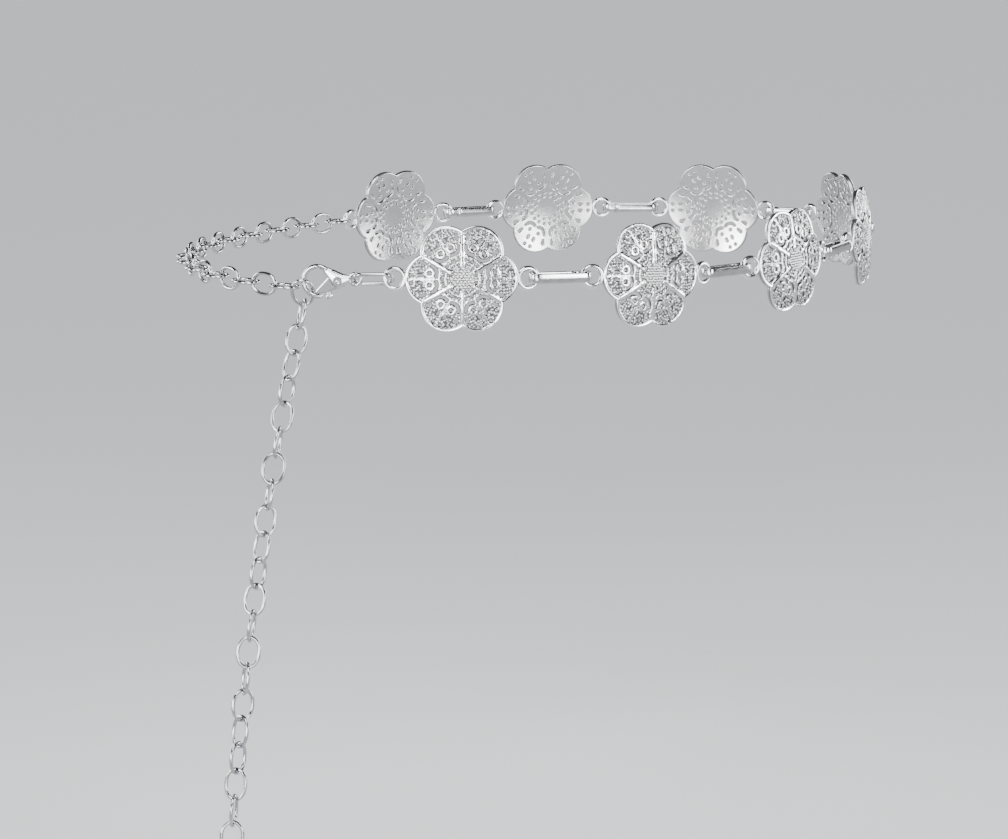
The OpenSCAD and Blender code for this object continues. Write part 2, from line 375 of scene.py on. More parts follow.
def strip_along(name: str, path: Array, profile: Array) -> Mesh:
    """Draw a section along a flat, open path.

    Args:
        name: The mesh's name.
        path: Points in the XY plane, anticlockwise.
        profile: Points of the section, first number outwards from the path, second number along Z.

    Returns:
        A closed mesh with flat ends.
    """
    along = np.gradient(path, axis=0)
    along /= np.linalg.norm(along, axis=1, keepdims=True)
    outward = np.column_stack([along[:, 1], -along[:, 0]])
    flat = path[:, None] + outward[:, None] * profile[:, :1]
    up = np.broadcast_to(profile[:, 1:], (*flat.shape[:2], 1))
    corners = np.concatenate([flat, up], axis=2).reshape(-1, 3).tolist()
    sides, last = len(profile), len(corners) - 1
    faces = [
        (i + j, i + sides + j, i + sides + (j + 1) % sides, i + (j + 1) % sides)
        for i in range(0, len(corners) - sides, sides)
        for j in range(sides)
    ]
    faces += [tuple(range(sides)), tuple(range(last, last - sides, -1))]
    return outward_mesh(mesh_of(name, corners, faces))


def outward_mesh(mesh: Mesh, weld: float = 0.0) -> Mesh:
    """Turn all the faces of a closed mesh outwards.

    Args:
        mesh: The mesh.
        weld: Distance up to which corners are merged first, or 0 for none.

    Returns:
        The same mesh.
    """
    work = bmesh.new()
    work.from_mesh(mesh)
    if weld:
        bmesh.ops.remove_doubles(work, verts=work.verts, dist=weld)
    bmesh.ops.recalc_face_normals(work, faces=work.faces)
    work.to_mesh(mesh)
    work.free()
    return mesh


# Geometry trees


class GeometryTree:
    """A geometry node tree with named inputs, run once on a base mesh."""

    def __init__(self, name: str) -> None:
        """Start a tree that takes and gives a geometry.

        Args:
            name: The tree's name.
        """
        self.tree = bpy.data.node_groups.new(name, "GeometryNodeTree")
        self.identifiers: dict[str, str] = {}
        self.tree.interface.new_socket("Geometry", in_out="OUTPUT", socket_type=SocketKind.GEOMETRY.value)
        self.start = self.tree.nodes.new("NodeGroupInput")
        self.end = self.tree.nodes.new("NodeGroupOutput")
        self.input("Geometry", SocketKind.GEOMETRY)

    def input(self, name: str, kind: SocketKind) -> Socket:
        """Add a named input.

        Args:
            name: The input's name.
            kind: What it takes.

        Returns:
            Its socket inside the tree.
        """
        made = self.tree.interface.new_socket(name, in_out="INPUT", socket_type=kind.value)
        self.identifiers[name] = made.identifier
        return next(s for s in self.start.outputs if s.identifier == made.identifier)

    def node(self, kind: str, inputs: dict | Sequence = (), **settings: object) -> bpy.types.Node:
        """Add a node to this tree."""
        return add_node(self.tree, kind, inputs, **settings)

    def out(self, kind: str, inputs: dict | Sequence = (), **settings: object) -> Socket:
        """Add a node to this tree and give its first output."""
        return self.node(kind, inputs, **settings).outputs[0]

    def finish(self, geometry: Socket) -> None:
        """Realize the instances, set the material and end the tree.

        Args:
            geometry: The socket that holds all that the tree made.
        """
        real = self.out("GeometryNodeRealizeInstances", {"Geometry": geometry})
        metal = self.input("Finish", SocketKind.FINISH)
        dressed = self.out("GeometryNodeSetMaterial", {"Geometry": real, "Material": metal})
        self.tree.links.new(dressed, self.end.inputs[0])

    def run(self, base: Mesh, values: dict[str, object]) -> Mesh:
        """Run the tree on a mesh.

        Args:
            base: The mesh that the tree starts from.
            values: Input name to value.

        Returns:
            The result as a plain mesh.
        """
        holder = bpy.data.objects.new("holder", base)
        bpy.context.scene.collection.objects.link(holder)
        modifier = holder.modifiers.new("tree", "NODES")
        modifier.node_group = self.tree
        for name, value in values.items():
            modifier[self.identifiers[name]] = value
        holder.update_tag()
        graph = bpy.context.evaluated_depsgraph_get()
        made = bpy.data.meshes.new_from_object(holder.evaluated_get(graph))
        holder.modifiers.remove(modifier)
        bpy.data.objects.remove(holder)
        return made


# Chain links


@dataclass
class LinkChain:
    """A row of soldered oval wire links, each laid where its CAD solid lies.

    Attributes:
        node: The CAD node of the row.
        wire: Diameter of the wire, in mm.
        ovalness: 0 for straight sides between round ends, 1 for a true oval.
        arc_steps: Points round a link, two more than a multiple of four.
        wire_sides: Points round the wire.
    """

    node: str
    wire: float
    ovalness: float = 0.6
    arc_steps: int = 50
    wire_sides: int = 14

    @staticmethod
    def tree() -> GeometryTree:
        """Build the tree that lays an oval wire link on each point.

        Returns:
            The tree, with its sizes as named inputs.
        """
        made = GeometryTree("oval_links")
        sizes = ("Bend radius", "Half straight", "Wire radius", "Ovalness")
        bend, half, wire, oval = (made.input(name, SocketKind.LENGTH) for name in sizes)
        steps, sides = (made.input(name, SocketKind.COUNT) for name in ("Arc steps", "Wire sides"))
        circle = made.out("GeometryNodeCurvePrimitiveCircle", {"Resolution": steps, "Radius": bend})
        across = made.out("ShaderNodeSeparateXYZ", (made.out("GeometryNodeInputPosition"),))
        share = made.out(MATH, (made.out(MATH, (across,), operation="ABSOLUTE"), bend), operation="DIVIDE")
        share = made.out(MATH, (share, oval), operation="POWER")
        side = made.out(MATH, (made.out(MATH, (across,), operation="SIGN"), half), operation="MULTIPLY")
        offset = made.out("ShaderNodeCombineXYZ", {"X": made.out(MATH, (side, share), operation="MULTIPLY")})
        line = made.out("GeometryNodeSetPosition", {"Geometry": circle, "Offset": offset})
        section = made.out("GeometryNodeCurvePrimitiveCircle", {"Resolution": sides, "Radius": wire})
        link = made.out("GeometryNodeCurveToMesh", {"Curve": line, "Profile Curve": section})
        turn = made.out("GeometryNodeInputNamedAttribute", {"Name": "turn"}, data_type="QUATERNION")
        laid = {"Points": made.start.outputs[0], "Instance": link, "Rotation": turn}
        made.finish(made.out("GeometryNodeInstanceOnPoints", laid))
        return made

    def build(self, tree: GeometryTree) -> Mesh:
        """Lay the links.

        Args:
            tree: The oval link tree.

        Returns:
            The row as one mesh, in metres.
        """
        poses = [pose_of(s) for s in solids_of(self.node)]
        base = bpy.data.meshes.new(self.node + "_points")
        base.from_pydata([p.middle.tolist() for p in poses], [], [])
        turns = base.attributes.new("turn", "QUATERNION", "POINT")
        for spot, pose in zip(turns.data, poses):
            spin = Matrix(np.column_stack([pose.long, pose.short, pose.facing]).tolist())
            spot.value = spin.to_quaternion()
        low, high = poses[0].reach(poses[0].long)
        under, over = poses[0].reach(poses[0].short)
        wire, width = self.wire * MM, over - under
        made = tree.run(base, {
            "Bend radius": (width - wire) / 2,
            "Half straight": (high - low - width) / 2,
            "Wire radius": wire / 2,
            "Ovalness": self.ovalness,
            "Arc steps": self.arc_steps,
            "Wire sides": self.wire_sides,
            "Finish": PLATED_WIRE.material(),
        })
        made.shade_smooth()
        return outward_mesh(made)

    def dress(self, tree: GeometryTree) -> None:
        """Build the row and put it in place of its node."""
        add_piece(self.node + "_wire", self.build(tree), "chain", PLATED_WIRE, [self.node])


# Band links


@dataclass
class BandLink:
    """A strip bent to a long closed band, standing on edge, with a crowned outer face and a butt seam.

    Attributes:
        node: The CAD node.
        strip: Thickness of the strip, in mm.
        crown: How much of that thickness the outer face is crowned, in mm.
        outer_drop: How much the outer face's edges are lowered, in mm.
        inner_lift: How much the inner face's edges are lifted, in mm.
        inner_drop: How much the inner face's edges are lowered, in mm.
        seam: Width of the butt seam, in mm.
        seam_at: Place of the seam along the front, as a share of its length.
        face_points: Points across each face of the strip.
        turn_points: Points round each end.
        side_points: Points along the front after the seam, the back and the front before the seam.
    """

    node: str
    strip: float = 0.9
    crown: float = 0.28
    outer_drop: float = 0.054
    inner_lift: float = 0.108
    inner_drop: float = 0.09
    seam: float = 0.04
    seam_at: float = 0.12
    face_points: int = 11
    turn_points: int = 21
    side_points: tuple[int, int, int] = (9, 13, 7)

    def profile(self, height: float) -> Array:
        """Section of the strip, outwards and upwards from the path at its middle.

        Args:
            height: Height of the strip, in mm.

        Returns:
            Its points, in mm.
        """
        half, t = height / 2, self.strip / 2
        ups = np.linspace(-1, 1, self.face_points)
        edge = np.abs(ups) ** 6
        outer = np.column_stack([t - self.crown * ups**2, ups * (half - self.outer_drop * edge)])
        inner = np.column_stack([self.inner_lift * edge - t, ups * (half - self.inner_drop * edge)])
        return np.concatenate([outer, inner[::-1]])

    def path(self, length: float, width: float) -> Array:
        """Middle line of the strip, from one side of the seam round to the other.

        Args:
            length: Outer length of the band, in mm.
            width: Outer width of the band, in mm.

        Returns:
            Its points, in mm, anticlockwise.
        """
        r = (width - self.strip) / 2
        half = (length - width) / 2
        seam_x = half * (2 * self.seam_at - 1)
        after, behind, before = self.side_points
        turns = np.radians(np.linspace(-90, 90, self.turn_points))
        right = [(half + r * math.cos(a), r * math.sin(a)) for a in turns]
        left = [(-x, -y) for x, y in right]
        front = [(x, -r) for x in np.linspace(seam_x + self.seam / 2, half, after)[:-1]]
        back = [(x, r) for x in np.linspace(half, -half, behind)[1:-1]]
        rest = [(x, -r) for x in np.linspace(-half, seam_x - self.seam / 2, before)[1:]]
        return np.array(front + right + back + left + rest)

    def build(self) -> Mesh:
        """Build the band in its place.

        Returns:
            The mesh, in metres.
        """
        pose = pose_of(solids_of(self.node)[0])
        up = np.array([0.0, 0.0, 1.0])
        up = up - pose.long * (up @ pose.long)
        up /= np.linalg.norm(up)
        standing = Pose(pose.middle, pose.long, np.cross(up, pose.long), up, pose.points)
        spans = [standing.reach(way) for way in (standing.long, standing.short, up)]
        length, width, height = ((far - near) / MM for near, far in spans)
        made = strip_along(self.node + "_strip", self.path(length, width), self.profile(height))
        if standing.short @ pose.middle < 0:
            made.transform(Matrix.Rotation(math.pi, 4, "Z"))
        made.transform(standing.matrix())
        return made

    def dress(self) -> None:
        """Build the band and put it in place of its node."""
        add_piece(self.node + "_strip", self.build(), "chain", PLATED_STRIP, [self.node])


# Flower medallions


def swell(distance: Array, half: float) -> Array:
    """Rounded ridge: 1 on its line, falling to 0 at half its width."""
    return np.sqrt(np.clip(1 - (distance / half) ** 2, 0, 1))


def ramp(past: Array, fade: float) -> Array:
    """Rise from 0 at nothing to 1 at the fade's length."""
    return np.clip(past / fade, 0, 1)


def along_line(x: Array, side: Array, turn: float) -> tuple[Array, Array]:
    """Turn places to the axes of a line through the middle.

    Args:
        x: First coordinates.
        side: Second coordinates.
        turn: Angle of the line, in degrees.

    Returns:
        The places along the line and across it.
    """
    a = math.radians(turn)
    return x * math.cos(a) + side * math.sin(a), side * math.cos(a) - x * math.sin(a)


@dataclass(frozen=True)
class Hole:
    """A hole in a petal: round, or a slot that may flare. Lengths in mm.

    Attributes:
        inwards: Distance of its middle from the petal's tip.
        aside: Distance of its middle from its line.
        r: Radius at its middle.
        half: Half the distance between the middles of its ends.
        flare: Growth of its radius outwards, for each mm.
        turn: Angle of its line from the petal's middle line, in degrees.
    """

    inwards: float
    aside: float
    r: float
    half: float = 0.0
    flare: float = 0.0
    turn: float = 0.0

    def room(self, x: Array, side: Array, reach: float) -> Array:
        """Distance to its edge, less than 0 inside.

        Args:
            x: Distances out along the petal.
            side: Distances off the petal's middle line.
            reach: Distance of the petal's tip.

        Returns:
            The distances.
        """
        along, across = along_line(x, side, self.turn)
        along = along - (reach - self.inwards)
        held = np.clip(along, -self.half, self.half)
        return np.hypot(along - held, across - self.aside) - (self.r + self.flare * held)


@dataclass(frozen=True)
class Rib:
    """A straight, rounded rib that runs outwards. Lengths in mm.

    Attributes:
        height: Its height.
        half: Half its width.
        turn: Angle of its line from the petal's middle line, in degrees.
        start: Distance from the medallion's middle where it starts.
        stop: Distance along its line where it ends.
        rise: Length over which it rises.
        fall: Length over which it falls.
    """

    height: float
    half: float
    turn: float
    start: float
    stop: float
    rise: float
    fall: float

    def over(self, x: Array, side: Array) -> Array:
        """Its height at each place.

        Args:
            x: Distances out along the petal.
            side: Distances off the petal's middle line.

        Returns:
            The heights.
        """
        along, across = along_line(x, side, self.turn)
        ends = ramp(np.hypot(x, side) - self.start, self.rise) * ramp(self.stop - along, self.fall)
        return self.height * swell(across, self.half) * ends


@dataclass(frozen=True)
class Curl:
    """A rounded rib or a cut along an arc. Lengths in mm, angles in degrees.

    Attributes:
        r: Radius of its line.
        half: Half its width.
        height: Its height, or 0 for a cut.
        start: Angle of its start.
        stop: Angle of its end.
    """

    r: float
    half: float
    height: float = 0.0
    start: float = -180.0
    stop: float = 180.0

    def away(self, x: Array, y: Array) -> Array:
        """Distance from its line at each place.

        Args:
            x: First coordinates, from the arc's middle.
            y: Second coordinates, from the arc's middle.

        Returns:
            The distances.
        """
        middle = math.radians((self.start + self.stop) / 2)
        reach = math.radians((self.stop - self.start) / 2)
        turn = np.angle(np.exp(1j * (np.arctan2(y, x) - middle)))
        held = np.clip(turn, -reach, reach) + middle
        return np.hypot(x - self.r * np.cos(held), y - self.r * np.sin(held))

    def over(self, x: Array, y: Array) -> Array:
        """Its height at each place, seen from its middle."""
        return self.height * swell(self.away(x, y), self.half)


@dataclass
class Flower:
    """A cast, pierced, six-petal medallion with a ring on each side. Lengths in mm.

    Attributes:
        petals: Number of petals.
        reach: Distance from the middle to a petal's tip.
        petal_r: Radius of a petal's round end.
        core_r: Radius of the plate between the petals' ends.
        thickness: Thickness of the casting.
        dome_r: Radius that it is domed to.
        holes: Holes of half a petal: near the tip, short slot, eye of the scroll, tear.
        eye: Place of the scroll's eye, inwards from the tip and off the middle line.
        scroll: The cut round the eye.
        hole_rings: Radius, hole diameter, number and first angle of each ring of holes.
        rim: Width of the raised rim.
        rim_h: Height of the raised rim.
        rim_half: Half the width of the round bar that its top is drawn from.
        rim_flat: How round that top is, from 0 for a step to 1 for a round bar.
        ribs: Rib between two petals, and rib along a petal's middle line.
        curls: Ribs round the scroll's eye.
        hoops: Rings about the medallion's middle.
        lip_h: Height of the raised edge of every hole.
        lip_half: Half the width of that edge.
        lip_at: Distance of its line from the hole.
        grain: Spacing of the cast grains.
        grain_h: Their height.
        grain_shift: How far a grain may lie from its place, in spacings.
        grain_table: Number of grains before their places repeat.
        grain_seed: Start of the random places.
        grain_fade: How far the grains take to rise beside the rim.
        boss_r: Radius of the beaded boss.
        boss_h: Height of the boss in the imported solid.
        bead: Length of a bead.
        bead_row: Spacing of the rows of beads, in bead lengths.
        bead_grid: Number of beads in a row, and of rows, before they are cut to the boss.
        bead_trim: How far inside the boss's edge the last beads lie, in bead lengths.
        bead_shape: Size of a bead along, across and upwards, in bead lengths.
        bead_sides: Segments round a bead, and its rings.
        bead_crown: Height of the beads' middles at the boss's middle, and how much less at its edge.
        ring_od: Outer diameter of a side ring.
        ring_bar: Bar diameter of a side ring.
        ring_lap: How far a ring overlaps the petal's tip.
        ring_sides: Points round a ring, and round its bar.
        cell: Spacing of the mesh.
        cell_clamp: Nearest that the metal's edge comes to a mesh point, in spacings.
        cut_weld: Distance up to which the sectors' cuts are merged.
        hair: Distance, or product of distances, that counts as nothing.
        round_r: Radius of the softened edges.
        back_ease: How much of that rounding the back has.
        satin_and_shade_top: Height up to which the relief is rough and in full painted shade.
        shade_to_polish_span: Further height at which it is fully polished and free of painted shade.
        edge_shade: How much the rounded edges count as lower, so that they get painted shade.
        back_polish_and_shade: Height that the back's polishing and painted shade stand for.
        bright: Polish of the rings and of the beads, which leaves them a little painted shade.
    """

    petals: int = 6
    reach: float = 17.6
    petal_r: float = 8.25
    core_r: float = 6.1875
    thickness: float = 1.2
    dome_r: float = 74.0
    holes: tuple[Hole, ...] = (
        Hole(1.83, 1.2, 0.52),
        Hole(4.75, 1.15, 0.42, half=0.4),
        Hole(7.5, 1.84, 0.52),
        Hole(4.7, 0.0, 0.475, half=0.625, flare=0.2, turn=22.4),
    )
    eye: tuple[float, float] = (7.5, 1.84)
    scroll: Curl = Curl(2.33, 0.45, start=109.0, stop=208.0)
    hole_rings: tuple[tuple[float, float, int, float], ...] = ((6.1, 0.9, 18, 0), (4.45, 0.7, 12, 15))
    rim: float = 0.95
    rim_h: float = 0.375
    rim_half: float = 0.589
    rim_flat: float = 0.6
    ribs: tuple[Rib, ...] = (
        Rib(0.42, 0.8, turn=30.0, start=3.4, stop=14.2, rise=0.5, fall=0.6),
        Rib(0.2, 0.42, turn=0.0, start=7.2, stop=17.0, rise=0.5, fall=0.4),
    )
    curls: tuple[Curl, ...] = (Curl(1.2, 0.42, 0.26), Curl(3.35, 0.42, 0.2, 80.0, 215.0))
    hoops: tuple[Curl, ...] = (Curl(5.25, 0.42, 0.2), Curl(7.25, 0.5, 0.16))
    lip_h: float = 0.06
    lip_half: float = 0.3
    lip_at: float = 0.28
    grain: float = 0.95
    grain_h: float = 0.2
    grain_shift: float = 0.28
    grain_table: int = 64
    grain_seed: int = 7
    grain_fade: float = 0.3
    boss_r: float = 3.7
    boss_h: float = 0.8
    bead: float = 1.15
    bead_row: float = 0.7
    bead_grid: tuple[int, int] = (8, 9)
    bead_trim: float = 0.35
    bead_shape: tuple[float, float, float] = (1.04, 0.74, 0.62)
    bead_sides: tuple[int, int] = (12, 7)
    bead_crown: tuple[float, float] = (0.42, 0.35)
    ring_od: float = 7.7
    ring_bar: float = 1.6
    ring_lap: float = 0.9
    ring_sides: tuple[int, int] = (56, 20)
    cell: float = 0.232
    cell_clamp: float = 0.05
    cut_weld: float = 0.01
    hair: float = 1e-6
    round_r: float = 0.26
    back_ease: float = 0.5
    # Levels of the relief mask, which paints shade into the colour of recesses and rounded edges and roughens
    # them
    satin_and_shade_top: float = 0.06
    shade_to_polish_span: float = 0.22
    edge_shade: float = 1.2
    back_polish_and_shade: float = 0.14
    bright: tuple[float, float] = (0.85, 0.9)

    def from_eye(self, x: Array, y: Array) -> tuple[Array, Array]:
        """Places seen from the eye of the petal's nearer scroll."""
        return x - (self.reach - self.eye[0]), np.abs(y) - self.eye[1]

    def hole_room(self, x: Array, y: Array) -> Array:
        """Distance from the nearest hole of a petal along X, less than 0 inside one.

        Args:
            x: Distances out along the petal.
            y: Distances across it.

        Returns:
            The distances to the nearest hole's edge.
        """
        rooms = [hole.room(x, np.abs(y), self.reach) for hole in self.holes]
        rooms.append(self.scroll.away(*self.from_eye(x, y)) - self.scroll.half)
        return np.minimum.reduce(rooms)

    def ring_room(self, x: Array, y: Array, r: float, d: float, n: int, turn: float) -> Array:
        """Distance from the nearest hole of a ring of holes about the middle.

        Args:
            x: First coordinates.
            y: Second coordinates.
            r: Radius of the ring.
            d: Diameter of a hole.
            n: Number of holes.
            turn: Angle of the first hole, in degrees.

        Returns:
            The distances to the nearest hole's edge.
        """
        step = 2 * math.pi / n
        angle = np.arctan2(y, x) - math.radians(turn)
        angle = angle - step * np.round(angle / step)
        out = np.hypot(x, y)
        return np.hypot(out * np.cos(angle) - r, out * np.sin(angle)) - d / 2

    def outline_room(self, x: Array, y: Array) -> Array:
        """Distance inwards from the outline of the petals.

        Args:
            x: Distances out along the petal.
            y: Distances across it.

        Returns:
            The distances, more than 0 inside.
        """
        petal_at = self.reach - self.petal_r
        rooms = [self.core_r - np.hypot(x, y)]
        for k in (-1, 0, 1):
            a = 2 * math.pi / self.petals * k
            rooms.append(self.petal_r - np.hypot(x - petal_at * math.cos(a), y - petal_at * math.sin(a)))
        return np.maximum.reduce(rooms)

    def room(self, x: Array, y: Array) -> Array:
        """Distance to the nearest edge of the metal, more than 0 where there is metal."""
        rings = [self.ring_room(x, y, *ring) for ring in self.hole_rings]
        return np.minimum.reduce([self.outline_room(x, y), self.hole_room(x, y), *rings])

    def relief(self, x: Array, y: Array) -> Array:
        """Height of the casting's relief above its plate.

        Args:
            x: Distances out along the petal.
            y: Distances across it.

        Returns:
            The heights, in mm.
        """
        edge, side = self.outline_room(x, y), np.abs(y)
        rim = self.rim_h * swell(edge - self.rim / 2, self.rim_half) ** self.rim_flat
        ribs = [rib.over(x, side) for rib in self.ribs]
        curls = [curl.over(*self.from_eye(x, y)) for curl in self.curls]
        hoops = sum(hoop.over(x, y) for hoop in self.hoops)
        grains = self.grain_h * self.grains(x, y) * ramp(edge - self.rim, self.grain_fade)
        lip = self.lip_h * swell(self.room(x, y) - self.lip_at, self.lip_half)
        return np.maximum.reduce([rim, *ribs, *curls, hoops, grains]) + lip

    def grains(self, x: Array, y: Array) -> Array:
        """Scattered grains of the cast ground, the same in every petal.

        Args:
            x: Distances out along the petal.
            y: Distances across it.

        Returns:
            Their heights, from 0 to 1.
        """
        pitch, table = self.grain, self.grain_table
        draw = np.random.default_rng(self.grain_seed)
        shifts = draw.uniform(-self.grain_shift, self.grain_shift, (table, table, 2))
        column, row = np.floor(x / pitch).astype(int), np.floor(y / pitch).astype(int)
        height = np.zeros_like(x)
        for across in (-1, 0, 1):
            for up in (-1, 0, 1):
                i, j = column + across, row + up
                shift = shifts[i % table, j % table]
                far = np.hypot(x - (i + 0.5 + shift[..., 0]) * pitch, y - (j + 0.5 + shift[..., 1]) * pitch)
                height = np.maximum(height, swell(far, 0.5 * pitch))
        return height

    def petal(self) -> Mesh:
        """Build one petal's sector, flat, open along its two cuts.

        Returns:
            The mesh, in mm, with a relief attribute.
        """
        half = math.pi / self.petals
        first = np.array([math.cos(half), -math.sin(half)]) * self.cell
        second = np.array([math.cos(half), math.sin(half)]) * self.cell
        count = int(self.reach / self.cell / math.cos(half)) + 2
        i, j = np.meshgrid(np.arange(count), np.arange(count), indexing="ij")
        spots = i[..., None] * first + j[..., None] * second
        room = self.room(spots[..., 0], spots[..., 1])
        points: list[tuple[float, float]] = []
        names: dict[tuple, int] = {}

        def name_of(key: tuple, spot: Callable[[], Array]) -> int:
            """Number of a point, made when it is first asked for.

            Args:
                key: What the point is known by.
                spot: Gives its place.

            Returns:
                Its number.
            """
            if key not in names:
                names[key] = len(points)
                points.append(tuple(spot()))
            return names[key]

        def corner(p: tuple[int, int]) -> int:
            """Number of a lattice point."""
            return name_of(p, lambda: spots[p])

        def crossing(p: tuple[int, int], q: tuple[int, int]) -> int:
            """Number of the point where the metal's edge crosses between two lattice points.

            Args:
                p: One lattice point.
                q: Its neighbour.

            Returns:
                The crossing's number.
            """
            p, q = sorted((p, q))
            share = room[p] / (room[p] - room[q])
            share = min(1 - self.cell_clamp, max(self.cell_clamp, share))
            return name_of((p, q), lambda: spots[p] + share * (spots[q] - spots[p]))

        faces = []
        for a in range(count - 1):
            for b in range(count - 1):
                for tri in (((a, b), (a + 1, b), (a, b + 1)), ((a + 1, b), (a + 1, b + 1), (a, b + 1))):
                    inside = [room[t] > 0 for t in tri]
                    if not any(inside):
                        continue
                    face = []
                    for k in range(3):
                        if inside[k]:
                            face.append(corner(tri[k]))
                        if inside[k] != inside[(k + 1) % 3]:
                            face.append(crossing(tri[k], tri[(k + 1) % 3]))
                    faces.append(face)
        return self.thicken(np.array(points), faces)

    def thicken(self, flat: Array, faces: list[list[int]]) -> Mesh:
        """Give the flat sector its relief, its back and its walls.

        Args:
            flat: Its points.
            faces: Its faces, anticlockwise.

        Returns:
            The mesh, open only along the sector's two cuts.
        """
        x, y = flat[:, 0], flat[:, 1]
        room = np.clip(self.room(x, y) / self.round_r, 0, 1)
        drop = self.round_r * (1 - np.sqrt(1 - (1 - room) ** 2))
        relief = self.relief(x, y)
        top = np.column_stack([x, y, relief - drop])
        back = np.column_stack([x, y, self.back_ease * drop - self.thickness])
        n = len(flat)
        edges = {(p, face[(k + 1) % len(face)]) for face in faces for k, p in enumerate(face)}
        cut = math.tan(math.pi / self.petals)
        on_cut = np.abs(np.abs(y) - x * cut) < self.hair
        walls = [
            (q, p, p + n, q + n)
            for face in faces
            for p, q in zip(face, [*face[1:], face[0]])
            if (q, p) not in edges and not (on_cut[p] and on_cut[q] and y[p] * y[q] > -self.hair)
        ]
        under = [[p + n for p in reversed(face)] for face in faces]
        mesh = mesh_of("petal_sector", np.concatenate([top, back]).tolist(), faces + under + walls)
        high = mesh.attributes.new("relief", "FLOAT", "POINT")
        # Relief mask: low relief and the rounded edges get painted shade in their colour and a rougher
        # finish; the back gets one fixed level
        front = relief - self.satin_and_shade_top - self.edge_shade * drop
        polish_and_shade = np.clip(np.concatenate([front, np.full(n, self.back_polish_and_shade)]) / self.shade_to_polish_span, 0, 1)
        high.data.foreach_set("value", polish_and_shade.astype(np.float32))
        return mesh

    def tree(self) -> GeometryTree:
        """Build the tree that makes a medallion from a petal sector.

        Returns:
            The tree, with its sizes as named inputs.
        """
        made = GeometryTree("flower_medallion")
        count = made.input("Petals", SocketKind.COUNT)
        sizes = (
            "Dome radius", "Ring line radius", "Ring bar radius", "Ring angle", "Ring height",
            "Boss radius", "Bead length", "Row spacing",
        )
        sockets = (made.input(name, SocketKind.LENGTH) for name in sizes)
        dome, line, bar, lean, height, boss, bead, row = sockets
        plate = self.turned_copies(made, made.start.outputs[0], count)
        plate = made.out("GeometryNodeRealizeInstances", {"Geometry": plate})
        plate = made.out("GeometryNodeMergeByDistance", {"Geometry": plate, "Distance": self.cut_weld})
        beads = self.brick_rows(made, bead, row, boss)

        around, about = self.ring_sides
        circle = made.out("GeometryNodeCurvePrimitiveCircle", {"Resolution": around, "Radius": line})
        section = made.out("GeometryNodeCurvePrimitiveCircle", {"Resolution": about, "Radius": bar})
        ring = made.out("GeometryNodeCurveToMesh", {"Curve": circle, "Profile Curve": section})
        # The rings stand high in the relief mask: polished, with only a little painted shade
        polish_and_shade = {"Geometry": ring, "Name": "relief", "Value": self.bright[0]}
        ring = made.out("GeometryNodeStoreNamedAttribute", polish_and_shade, data_type="FLOAT")
        lift = made.out("ShaderNodeCombineXYZ", {"Z": height})
        ring = made.out("GeometryNodeTransform", {"Geometry": ring, "Translation": lift})
        tilt = made.out("ShaderNodeCombineXYZ", {"Y": lean})
        fall = made.out("ShaderNodeCombineXYZ", {"Z": made.out(MATH, (dome, -1.0), operation="MULTIPLY")})
        ring = made.out("GeometryNodeTransform", {"Geometry": ring, "Rotation": tilt, "Translation": fall})

        whole = made.node("GeometryNodeJoinGeometry")
        rings = self.turned_copies(made, ring, 2)
        for part in (rings, self.bend(made, beads, dome), self.bend(made, plate, dome)):
            made.tree.links.new(part, whole.inputs[0])
        made.finish(whole.outputs[0])
        return made

    @staticmethod
    def turned_copies(made: GeometryTree, piece: Socket, count: Socket | int) -> Socket:
        """Lay copies of a piece evenly round the Z axis.

        Args:
            made: The medallion's tree.
            piece: The piece.
            count: Number of copies.

        Returns:
            The socket with the copies.
        """
        row = made.out("GeometryNodeMeshLine", {"Count": count, "Offset": (0.0, 0.0, 0.0)})
        angle = made.out(MATH, (made.out("GeometryNodeInputIndex"), 2 * math.pi), operation="MULTIPLY")
        turn = made.out("ShaderNodeCombineXYZ", {"Z": made.out(MATH, (angle, count), operation="DIVIDE")})
        return made.out("GeometryNodeInstanceOnPoints", {"Points": row, "Instance": piece, "Rotation": turn})

    def brick_rows(self, made: GeometryTree, bead: Socket, pitch: Socket, boss: Socket) -> Socket:
        """Lay long beads in staggered rows over the boss.

        Args:
            made: The medallion's tree.
            bead: Length of a bead.
            pitch: Spacing of the rows.
            boss: Radius of the boss.

        Returns:
            The socket with the beads.
        """
        columns, rows = self.bead_grid
        segments, rings = self.bead_sides
        top, fall = self.bead_crown
        wide = made.out(MATH, (bead, columns - 1.0), operation="MULTIPLY")
        high = made.out(MATH, (pitch, rows - 1.0), operation="MULTIPLY")
        grid = {"Size X": wide, "Size Y": high, "Vertices X": columns, "Vertices Y": rows}
        spots = made.out("GeometryNodeMeshGrid", grid)
        place = made.out("GeometryNodeInputPosition")
        y = made.node("ShaderNodeSeparateXYZ", (place,)).outputs["Y"]
        row = made.out(MATH, (made.out(MATH, (y, pitch), operation="DIVIDE"),), operation="ROUND")
        odd = made.out(MATH, (row, 1.0), operation="PINGPONG")
        half = made.out(MATH, (bead, 0.5), operation="MULTIPLY")
        shift = made.out(MATH, (made.out(MATH, (odd, 0.5), operation="SUBTRACT"), half), operation="MULTIPLY")
        offset = made.out("ShaderNodeCombineXYZ", {"X": shift})
        spots = made.out("GeometryNodeSetPosition", {"Geometry": spots, "Offset": offset})
        away = made.node("ShaderNodeVectorMath", (place,), operation="LENGTH").outputs["Value"]
        trim = made.out(MATH, (bead, self.bead_trim), operation="MULTIPLY")
        limit = made.out(MATH, (boss, trim), operation="SUBTRACT")
        outside = {"Geometry": spots, "Selection": made.out(MATH, (away, limit), operation="GREATER_THAN")}
        spots = made.out("GeometryNodeDeleteGeometry", outside, domain="POINT")
        share = made.out(MATH, (away, boss), operation="DIVIDE")
        square = made.out(MATH, (share, share), operation="MULTIPLY")
